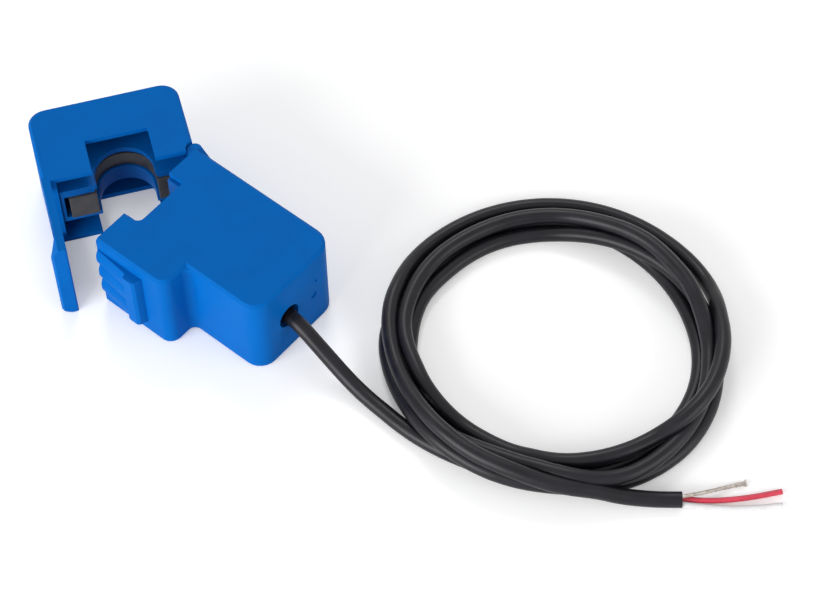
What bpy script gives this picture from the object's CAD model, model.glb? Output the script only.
# %% [markdown]
# # A split-core current transformer with a coiled lead
# This notebook dresses a finished CAD part. The solids, their sizes and the hinge come from the packed
# frame. Here they get rounded edges, materials, the lead with its four turns, a floor, light and a camera.
# Every length is in metres. X runs from the latch to the hinge, Y from the cable end to the jaw, and Z is
# up, away from the bench that the part lies on.

# %% Load the frame
import math

import bpy
from mathutils import Matrix, Vector


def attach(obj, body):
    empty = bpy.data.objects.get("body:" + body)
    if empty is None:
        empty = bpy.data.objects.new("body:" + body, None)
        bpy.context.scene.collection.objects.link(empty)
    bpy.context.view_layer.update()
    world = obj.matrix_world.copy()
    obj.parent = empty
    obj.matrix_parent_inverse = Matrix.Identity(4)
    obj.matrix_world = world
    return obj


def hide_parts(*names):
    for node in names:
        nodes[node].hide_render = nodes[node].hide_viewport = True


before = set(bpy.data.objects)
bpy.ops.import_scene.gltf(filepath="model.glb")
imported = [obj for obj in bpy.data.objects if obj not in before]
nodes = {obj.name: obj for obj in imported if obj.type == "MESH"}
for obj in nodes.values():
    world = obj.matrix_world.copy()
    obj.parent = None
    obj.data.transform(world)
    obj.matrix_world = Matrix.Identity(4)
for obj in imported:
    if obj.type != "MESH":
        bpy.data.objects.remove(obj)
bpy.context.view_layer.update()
MM = 0.001


def deselect():
    """Leaves nothing selected, so that the next operator acts on one piece only."""
    if bpy.context.object and bpy.context.object.mode != "OBJECT":
        bpy.ops.object.mode_set(mode="OBJECT")
    bpy.ops.object.select_all(action="DESELECT")


def activate(piece):
    """Makes a piece the only one selected, and the active one."""
    deselect()
    piece.select_set(True)
    bpy.context.view_layer.objects.active = piece


def apply_modifier(piece, kind, **settings):
    """Adds a modifier with these settings and applies it to the mesh."""
    activate(piece)
    modifier = piece.modifiers.new(kind.lower(), kind)
    for key, value in settings.items():
        setattr(modifier, key, value)
    bpy.ops.object.modifier_apply(modifier=modifier.name)


# %% [markdown]
# ## Camera
# The part is seen from above, from the corner between the latch side and the cable end. A long lens flattens
# the perspective. It is easiest to think of the camera as a turntable: a point to aim at, a turn, a height
# above the horizon, a distance and a slight roll.

# %% Set up the camera
AIM = Vector((25.62, -31.24, 0)) * MM
TURN, HEIGHT, ROLL = math.radians(-49.02), math.radians(54.93), math.radians(-1.5)
DISTANCE = 0.552

SENSOR, LENS = 36, 112.6
NEAR, FAR = 0.02, 20

camera_data = bpy.data.cameras.new("camera")
camera_data.sensor_width, camera_data.lens = SENSOR, LENS
camera_data.clip_start, camera_data.clip_end = NEAR, FAR
camera = bpy.data.objects.new("camera", camera_data)
bpy.context.scene.collection.objects.link(camera)
turned = Matrix.Rotation(TURN, 4, "Z")
tipped = Matrix.Rotation(math.pi / 2 - HEIGHT, 4, "X")
facing = turned @ tipped @ Matrix.Rotation(ROLL, 4, "Z")
camera.matrix_world = Matrix.Translation(AIM + facing.to_3x3() @ Vector((0, 0, DISTANCE))) @ facing
bpy.context.scene.camera = camera
print("camera at", [round(v, 3) for v in camera.matrix_world.translation])

# %% [markdown]
# ## The lead's route
# The lead leaves the case through the cable hole, falls to the bench and runs into a coil of a little more
# than four turns. A coil wound by hand is never neat: its turns wander between the inside and the outside, and
# ride over one another where they cross. It is easiest to describe in polar form, so each station is an angle
# round the coil's centre, a radius and a height. Where two turns cross, the upper one is lifted by about a
# diameter, in a few places by less, where the two press into each other.
# The points between stations come from a smooth curve through them, one for every 7 degrees.

# %% Write the route
CORD_D = 3.4 * MM
COIL_CENTRE = Vector((35.7, -62.4, 0)) * MM
STEP = 7  # degrees between points of the coil

lead_points = [(1.2, -19.35, 10.1), (0.9, -22.35, 9.7), (0.7, -26, 8), (0.55, -30, 5.8), (0.35, -34, 3.8),
               (0.05, -38, 2.5), (-0.25, -42, 1.9), (-0.5, -46, 1.72)]
tail_points = [(11.2, -93.2, 4.2), (13.6, -96.6, 3), (16.1, -99.8, 2.2), (18.7, -103, 1.72),
               (21.5, -106.5, 1.72)]

# angle in degrees, radius and height in millimetres
stations = [
    (162, 38.4, 1.7), (172, 36.7, 1.7), (182, 35.4, 1.7), (192, 34.5, 1.7), (205, 33.7, 1.7),
    (225, 33.3, 1.7), (250, 33.0, 1.7), (275, 32.2, 1.7), (290, 31.6, 1.7), (305, 30.7, 1.7),
    (320, 29.8, 1.7), (335, 29.3, 1.7), (355, 29.3, 1.7), (375, 30.0, 1.7), (395, 31.3, 1.7),
    (430, 32.2, 1.7), (455, 32.8, 1.7), (470, 33.8, 1.7), (487, 35.3, 1.7), (505, 35.1, 1.7),
    (516, 35.1, 2.6), (526, 35.7, 4.3), (536, 36.1, 5.0), (547, 36.4, 4.9), (556, 36.5, 4.4),
    (566, 36.4, 3.7), (576, 36.4, 3.2), (586, 36.6, 2.5), (600, 37.2, 1.7), (613, 37.4, 1.7),
    (625, 37.2, 1.7), (640, 36.3, 1.7), (652, 35.2, 1.7), (665, 34.0, 2.3), (675, 32.9, 3.5),
    (685, 31.8, 4.5), (695, 30.7, 4.8), (705, 29.7, 5.0), (715, 28.8, 5.0), (725, 28.0, 4.9),
    (735, 27.7, 4.2), (745, 27.6, 3.4), (755, 27.9, 2.3), (765, 28.2, 1.7), (785, 28.5, 1.7),
    (805, 28.8, 1.7), (815, 29.2, 1.7), (825, 29.9, 1.7), (850, 30.4, 1.7), (870, 31.7, 1.7),
    (885, 32.3, 1.7), (895, 32.5, 2.3), (905, 32.5, 3.8), (915, 32.5, 4.7), (925, 33.0, 5.1),
    (935, 34.3, 5.9), (945, 36.2, 6.0), (955, 37.4, 5.3), (963, 37.7, 5.1), (975, 36.9, 4.9),
    (990, 35.6, 4.7), (1005, 34.2, 4.7), (1015, 33.2, 4.9), (1025, 32.4, 5.3), (1032, 31.7, 6.1),
    (1040, 31.1, 7.2), (1050, 30.6, 7.9), (1062, 29.9, 8.2), (1075, 29.7, 8.2), (1085, 29.6, 7.8),
    (1095, 29.8, 6.8), (1105, 30.2, 5.9), (1117, 30.7, 5.1), (1150, 30.9, 4.9), (1175, 31.6, 4.8),
    (1195, 31.8, 4.7), (1207, 31.6, 4.8), (1218, 30.8, 5.0), (1226, 30.3, 5.0), (1235, 30.0, 4.5),
    (1245, 29.3, 3.0), (1255, 28.7, 1.8), (1268, 28.6, 1.7), (1282, 29.2, 2.1), (1290, 29.9, 3.0),
    (1300, 31.3, 4.3), (1310, 31.9, 4.8), (1322, 32.4, 5.1), (1336, 32.9, 5.2), (1345, 34.1, 6.8),
    (1354, 35.1, 7.9), (1364, 35.5, 8.0), (1375, 35.5, 7.5), (1385, 35.4, 6.9), (1395, 35.3, 5.8),
    (1402, 35.6, 4.6), (1410, 36.2, 2.6), (1418, 36.5, 1.7), (1440, 36.0, 1.7), (1480, 36.0, 1.7),
    (1520, 36.3, 1.7), (1535, 36.0, 2.8), (1545, 35.4, 4.4), (1557, 35.2, 5.0), (1580, 34.1, 5.0),
    (1592, 34.0, 6.0), (1603, 34.4, 7.3), (1615, 35.1, 8.3), (1630, 35.9, 8.1), (1645, 36.6, 7.4),
    (1660, 38.2, 6.0),
]


def through(points, place):
    """The value at place on a smooth curve through points, each a tuple that starts with its place."""
    after = next((k for k, p in enumerate(points) if p[0] >= place), len(points) - 1)
    b, c = points[max(after - 1, 0)], points[after]
    if b[0] == c[0]:
        return list(b[1:])
    a, d = points[max(after - 2, 0)], points[min(after + 1, len(points) - 1)]
    span = c[0] - b[0]
    t = (place - b[0]) / span
    result = []
    for k in range(1, len(b)):
        start = (c[k] - a[k]) / (c[0] - a[0]) * span
        end = (d[k] - b[k]) / (d[0] - b[0]) * span
        result.append((2 * t**3 - 3 * t**2 + 1) * b[k] + (t**3 - 2 * t**2 + t) * start
                      + (3 * t**2 - 2 * t**3) * c[k] + (t**3 - t**2) * end)
    return result


route = [Vector(p) * MM for p in lead_points]
for angle in range(stations[0][0], stations[-1][0] + 1, STEP):
    radius, height = through(stations, angle)
    turn = math.radians(angle)
    route.append(COIL_CENTRE + Vector((radius * math.cos(turn), radius * math.sin(turn), height)) * MM)
route += [Vector(p) * MM for p in tail_points]
print("route points:", len(route))

# %% [markdown]
# ## The lead
# A jacketed cable is a curve with a round section. A Bezier spline with automatic handles passes through every
# point and stays smooth between them, so the turns lie where the stations say.


# %% Lay the lead
def tube(name, points, diameter, sides=4, resolution=4):
    """A round cord along points: a curve of one open spline, whose points carry the radius."""
    curve = bpy.data.curves.new(name, "CURVE")
    curve.dimensions = "3D"
    curve.bevel_depth = 1  # the radius of each point is then in metres
    curve.bevel_resolution = sides
    curve.resolution_u = curve.render_resolution_u = resolution
    curve.use_fill_caps = True
    spline = curve.splines.new("BEZIER")
    spline.bezier_points.add(len(points) - 1)
    for knot, place in zip(spline.bezier_points, points):
        knot.co = place
        knot.radius = diameter / 2
        knot.handle_left_type = knot.handle_right_type = "AUTO"
    piece = bpy.data.objects.new(name, curve)
    bpy.context.scene.collection.objects.link(piece)
    return piece


def length_of(points):
    """The length of a chain of points."""
    return sum((b - a).length for a, b in zip(points, points[1:]))


lead = tube("lead", route, CORD_D, sides=8)
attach(lead, "housing")
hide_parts("cord_lead", "cord_coil", "cord_tail")

# %% [markdown]
# ## The stripped end
# The jacket is cut square, and two insulated cores and a bare twisted screen come out of it. The cores are
# tubes like the lead. The screen is a bundle of fine strands laid in a helix, which a loop makes one by one.

# %% Lay the cores and the screen
END = route[-1]
ALONG = (route[-1] - route[-2]).normalized()
ACROSS = Vector((-ALONG.y, ALONG.x, 0))
WIRE_D = 1.2 * MM
INSIDE_CUT = 0.5 * MM  # how far inside the jacket the cores start


def at_cut(across, up):
    """A point just inside the cut jacket."""
    return END - ALONG * INSIDE_CUT + ACROSS * across * MM + Vector((0, 0, up * MM))


def in_metres(points):
    """Points given in millimetres, as vectors in metres."""
    return [Vector(p) * MM for p in points]


red_route = [at_cut(0.55, -0.45)] + in_metres(
    [(24.8, -110.1, 0.9), (28.3, -113.8, 0.64), (32, -117.2, 0.64), (36.5, -120.8, 0.64)])
white_route = [at_cut(-0.75, -0.45)] + in_metres(
    [(23.4, -110.7, 0.8), (26.5, -114.9, 0.64), (29.8, -118.7, 0.64), (33.9, -122.8, 0.64)])
screen_route = [at_cut(0.1, 0.95)] + in_metres(
    [(24.4, -108.2, 2.1), (27.6, -110, 1.2), (30.8, -111.9, 0.6), (33.6, -114, 0.54)])

red_core = tube("red_core", red_route, WIRE_D, sides=6, resolution=8)
white_core = tube("white_core", white_route, WIRE_D, sides=6, resolution=8)
for core, node, skin in [(red_core, "red_wire", "red_insulation"),
                         (white_core, "white_wire", "white_insulation")]:
    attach(core, "housing")
    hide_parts(node)


def resampled(points, count):
    """Points at even steps on a smooth curve through points."""
    places = [0.0]
    for a, b in zip(points, points[1:]):
        places.append(places[-1] + (b - a).length)
    table = [(s, *p) for s, p in zip(places, points)]
    return [Vector(through(table, places[-1] * k / (count - 1))) for k in range(count)]


def bundle(name, points, radius, strands, strand_d, pitch, loosen=0.0):
    """Strands laid in a helix round points, made as curves, turned into meshes and joined."""
    centre = resampled(points, 60)
    made = []
    for s in range(strands):
        wound, run = [], 0.0
        for k, place in enumerate(centre):
            ahead = centre[min(k + 1, len(centre) - 1)] - centre[max(k - 1, 0)]
            side = ahead.cross(Vector((0, 0, 1))).normalized()
            up = side.cross(ahead).normalized()
            run += (place - centre[max(k - 1, 0)]).length
            turn = 2 * math.pi * (run / pitch + s / strands)
            spread = radius * (1 + loosen * (k / len(centre)) ** 8 * (1 + (s % 3)))
            wound.append(place + side * spread * math.cos(turn) + up * spread * math.sin(turn))
        strand = tube(f"{name}_{s}", wound, strand_d, sides=1, resolution=1)
        made.append(strand)
    deselect()
    for strand in made:
        strand.select_set(True)
    bpy.context.view_layer.objects.active = made[0]
    bpy.ops.object.convert(target="MESH")
    bpy.ops.object.join()
    made[0].name = made[0].data.name = name
    return made[0]


STRANDS, STRAND_D = 7, 0.25 * MM
screen = bundle("screen", screen_route, 0.29 * MM, STRANDS, STRAND_D, pitch=4 * MM, loosen=0.5)
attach(screen, "housing")
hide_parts("screen_wire")
print("screen:", STRANDS, "strands,", len(screen.data.polygons), "faces")

# %% Declare what is flexible
print("lead:", round(length_of(resampled(route, 900)), 3), "m long")

# %% [markdown]
# ## Moulded edges
# Injection moulded parts never have knife edges. The CAD solids carry the form, so each visible one is copied,
# its loose triangles are merged back into flat faces, and a bevel modifier rounds every edge sharper than 30
# degrees. The copy then stands for the solid, which stays hidden and exact.


# %% Round the mouldings
def rounded_copy(name, node, body, radius, segments=3):
    """A copy of a CAD solid with rounded edges that is shown in its place."""
    mesh = nodes[node].data.copy()
    piece = bpy.data.objects.new(name, mesh)
    bpy.context.scene.collection.objects.link(piece)
    mesh.materials.clear()
    activate(piece)
    bpy.ops.object.mode_set(mode="EDIT")
    bpy.ops.mesh.select_all(action="SELECT")
    bpy.ops.mesh.remove_doubles(threshold=2e-6)
    bpy.ops.mesh.dissolve_limited(angle_limit=math.radians(0.5))
    bpy.ops.object.mode_set(mode="OBJECT")
    apply_modifier(piece, "BEVEL", width=radius, segments=segments, limit_method="ANGLE",
                   angle_limit=math.radians(30), miter_outer="MITER_ARC", harden_normals=False)
    activate(piece)
    bpy.ops.object.shade_smooth_by_angle(angle=math.radians(35))
    apply_modifier(piece, "WEIGHTED_NORMAL", keep_sharp=True)
    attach(piece, body)
    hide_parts(node)
    print(name, "faces:", len(piece.data.polygons))
    return piece


case = rounded_copy("case", "body_housing", "housing", 0.3 * MM)
cap = rounded_copy("cap", "jaw_cap", "cap", 0.3 * MM)
saddle = rounded_copy("saddle", "core_saddle", "cap", 0.15 * MM)
pole_frame = rounded_copy("pole_frame", "jaw_insert", "housing", 0.12 * MM, segments=2)
top_core = rounded_copy("top_core", "upper_core", "cap", 0.2 * MM, segments=2)
bottom_core = rounded_copy("bottom_core", "lower_core", "housing", 0.2 * MM, segments=2)

# %% [markdown]
# ## Materials
# Each finish is a Principled shader whose colour, roughness and bump come from noise on Object coordinates, so
# the grain keeps its real size on every piece. A finish is described by a few numbers, so one function builds
# them all.


# %% Build a finish
def finish(name, dark, light, rough=(0.4, 0.5), grain=0.2, bump=0.02, patch=6.0, metal=0.0, shine=0.5):
    """A finish with a cloudy colour and roughness, and a fine grain. grain, bump and patch are in millimetres,
    and shine is the strength of its reflection."""
    material = bpy.data.materials.new(name)
    material.use_nodes = True
    tree = material.node_tree
    tree.nodes.clear()
    make, join = tree.nodes.new, tree.links.new
    shader = make("ShaderNodeBsdfPrincipled")
    output = make("ShaderNodeOutputMaterial")
    join(shader.outputs["BSDF"], output.inputs["Surface"])
    shader.inputs["Metallic"].default_value = metal
    shader.inputs["Specular IOR Level"].default_value = shine
    coordinates = make("ShaderNodeTexCoord")

    clouds = make("ShaderNodeTexNoise")
    clouds.inputs["Scale"].default_value = 1 / (patch * MM)
    clouds.inputs["Detail"].default_value = 4
    join(coordinates.outputs["Object"], clouds.inputs["Vector"])
    ramp = make("ShaderNodeValToRGB")
    ramp.color_ramp.elements[0].position, ramp.color_ramp.elements[1].position = 0.3, 0.7
    ramp.color_ramp.elements[0].color, ramp.color_ramp.elements[1].color = (*dark, 1), (*light, 1)
    join(clouds.outputs["Fac"], ramp.inputs["Fac"])
    join(ramp.outputs["Color"], shader.inputs["Base Color"])
    spread = make("ShaderNodeMapRange")
    spread.inputs["To Min"].default_value, spread.inputs["To Max"].default_value = rough
    join(clouds.outputs["Fac"], spread.inputs["Value"])
    join(spread.outputs["Result"], shader.inputs["Roughness"])

    pits = make("ShaderNodeTexNoise")
    pits.inputs["Scale"].default_value = 1 / (grain * MM)
    pits.inputs["Detail"].default_value = 3
    join(coordinates.outputs["Object"], pits.inputs["Vector"])
    relief = make("ShaderNodeBump")
    relief.inputs["Strength"].default_value = 1
    relief.inputs["Distance"].default_value = bump * MM
    join(pits.outputs["Fac"], relief.inputs["Height"])
    join(relief.outputs["Normal"], shader.inputs["Normal"])
    return material


def dress(piece, material):
    """Gives a piece one material all over."""
    piece.data.materials.clear()
    piece.data.materials.append(material)


# %% Dress every piece
case_blue = finish("case_blue", (0.001, 0.105, 0.4), (0.001, 0.115, 0.43),
                   rough=(0.4, 0.5), grain=0.25, bump=0.012, shine=0.02)
frame_blue = finish("frame_blue", (0.001, 0.093, 0.36), (0.001, 0.103, 0.39),
                    rough=(0.35, 0.45), grain=0.25, bump=0.01, shine=0.06)
ferrite = finish("ferrite", (0.03, 0.03, 0.034), (0.055, 0.052, 0.052),
                 rough=(0.35, 0.55), grain=0.12, bump=0.02, patch=2)
jacket = finish("jacket", (0.006, 0.0055, 0.008), (0.011, 0.01, 0.014),
                rough=(0.3, 0.42), grain=0.6, bump=0.015, patch=5, shine=0.25)
red_skin = finish("red_skin", (0.52, 0.03, 0.06), (0.64, 0.05, 0.09),
                  rough=(0.3, 0.4), grain=0.4, bump=0.01, patch=2)
white_skin = finish("white_skin", (0.62, 0.61, 0.62), (0.7, 0.69, 0.7),
                    rough=(0.3, 0.4), grain=0.4, bump=0.01, patch=2)
tinned = finish("tinned", (0.3, 0.27, 0.24), (0.62, 0.58, 0.53),
                rough=(0.3, 0.5), grain=0.3, bump=0.01, patch=0.8, metal=1.0)
copper = finish("copper", (0.5, 0.17, 0.07), (0.7, 0.28, 0.12),
                rough=(0.3, 0.4), grain=0.2, bump=0.01, patch=1, metal=1.0)
steel = finish("steel", (0.5, 0.5, 0.52), (0.62, 0.62, 0.64),
               rough=(0.25, 0.4), grain=0.2, bump=0.005, patch=2, metal=1.0)
nylon = finish("nylon", (0.74, 0.74, 0.7), (0.82, 0.82, 0.78), rough=(0.4, 0.5), grain=0.3, bump=0.01)
tape = finish("tape", (0.75, 0.5, 0.04), (0.85, 0.6, 0.08), rough=(0.2, 0.3), grain=0.5, bump=0.01)
shrink = finish("shrink", (0.012, 0.012, 0.012), (0.02, 0.02, 0.02), rough=(0.45, 0.6), grain=0.3, bump=0.02)

dress(lead, jacket)
dress(red_core, red_skin)
dress(white_core, white_skin)
dress(screen, tinned)
for piece in (case, cap):
    dress(piece, case_blue)
for piece in (saddle, pole_frame):
    dress(piece, frame_blue)
for piece in (top_core, bottom_core):
    dress(piece, ferrite)
inside = {
    nylon: ["bobbin_front", "bobbin_back"],
    copper: ["secondary_winding", "start_lead", "finish_lead"],
    tape: ["winding_tape"],
    shrink: ["sleeve_start", "sleeve_finish", "surge_diode", "cord_tie"],
    red_skin: ["inner_red"],
    white_skin: ["inner_white"],
    jacket: ["cord_inner"],
    steel: ["hinge_pin", "core_spring"],
}
for material, names in inside.items():
    for name in names:
        dress(nodes[name], material)
print("materials:", len(bpy.data.materials))

# %% [markdown]
# ## Floor, light and world
# The part lies on a white sheet in a bright room. A large soft lamp stands low on the latch side, so the side
# faces are brighter than the front one. A weaker one does the same at the cable end, and a small one hangs
# above and behind, to draw a highlight along the lead. The world fills the rest. The floor adds a little white
# of its own for the camera, so that it reads as white while it still takes the shadows.


# %% Make the floor
def rays_seen(tree):
    """A socket that is 1 for camera, glossy and transmission rays, and 0 for the rest."""
    path = tree.nodes.new("ShaderNodeLightPath")
    total = path.outputs["Is Camera Ray"]
    for kind in ("Is Glossy Ray", "Is Transmission Ray"):
        either = tree.nodes.new("ShaderNodeMath")
        either.operation = "MAXIMUM"
        tree.links.new(total, either.inputs[0])
        tree.links.new(path.outputs[kind], either.inputs[1])
        total = either.outputs[0]
    return total


FLOOR_SIZE, FLOOR_GLOW = 6, 0.24
deselect()
bpy.ops.mesh.primitive_plane_add(size=FLOOR_SIZE, location=(0, 0, -0.02 * MM))
floor = bpy.context.object
floor.name = "floor"
sheet = bpy.data.materials.new("white_sheet")
sheet.use_nodes = True
shader = sheet.node_tree.nodes["Principled BSDF"]
shader.inputs["Base Color"].default_value = (0.9, 0.9, 0.9, 1)
shader.inputs["Roughness"].default_value = 0.9
shader.inputs["Specular IOR Level"].default_value = 0.1
glow = sheet.node_tree.nodes.new("ShaderNodeMath")
glow.operation = "MULTIPLY"
glow.inputs[1].default_value = FLOOR_GLOW
sheet.node_tree.links.new(rays_seen(sheet.node_tree), glow.inputs[0])
shader.inputs["Emission Color"].default_value = (1, 1, 1, 1)
sheet.node_tree.links.new(glow.outputs[0], shader.inputs["Emission Strength"])
dress(floor, sheet)
print("floor:", FLOOR_SIZE, "m")


# %% Light it
def lamp(name, place, target, size, power):
    """A square area lamp at place that looks at target."""
    data = bpy.data.lights.new(name, "AREA")
    data.size, data.energy = size, power
    light = bpy.data.objects.new(name, data)
    bpy.context.scene.collection.objects.link(light)
    light.location = place
    light.rotation_euler = (Vector(target) - Vector(place)).to_track_quat("-Z", "Y").to_euler()
    return light


CENTRE = (0.02, -0.03, 0.01)
ROOM_LIGHT = 0.48
lamp("latch_side", (-1, 0.1, 0.28), CENTRE, 0.8, 15)
lamp("cable_side", (0.2, -1.05, 0.3), CENTRE, 0.8, 5)
lamp("overhead", (0.55, 0.48, 0.95), CENTRE, 0.35, 3)

world = bpy.data.worlds.new("room")
bpy.context.scene.world = world
world.use_nodes = True
tree = world.node_tree
tree.nodes.clear()
output = tree.nodes.new("ShaderNodeOutputWorld")
room = tree.nodes.new("ShaderNodeBackground")
room.inputs["Color"].default_value = (1, 1, 1, 1)
room.inputs["Strength"].default_value = ROOM_LIGHT
white = tree.nodes.new("ShaderNodeBackground")
white.inputs["Color"].default_value = (1, 1, 1, 1)
mix = tree.nodes.new("ShaderNodeMixShader")
tree.links.new(rays_seen(tree), mix.inputs["Fac"])
tree.links.new(room.outputs[0], mix.inputs[1])
tree.links.new(white.outputs[0], mix.inputs[2])
tree.links.new(mix.outputs[0], output.inputs["Surface"])
print("lamps:", len(bpy.data.lights), "room light:", ROOM_LIGHT)

# %% [markdown]
# ## The last settings
# The Standard view keeps each colour as it was chosen. The box of the dressed model is written beside the
# CAD model's box, because the visual model has to stay the size of the real thing.

# %% Colour management and sizes
bpy.context.scene.view_settings.view_transform = "Standard"
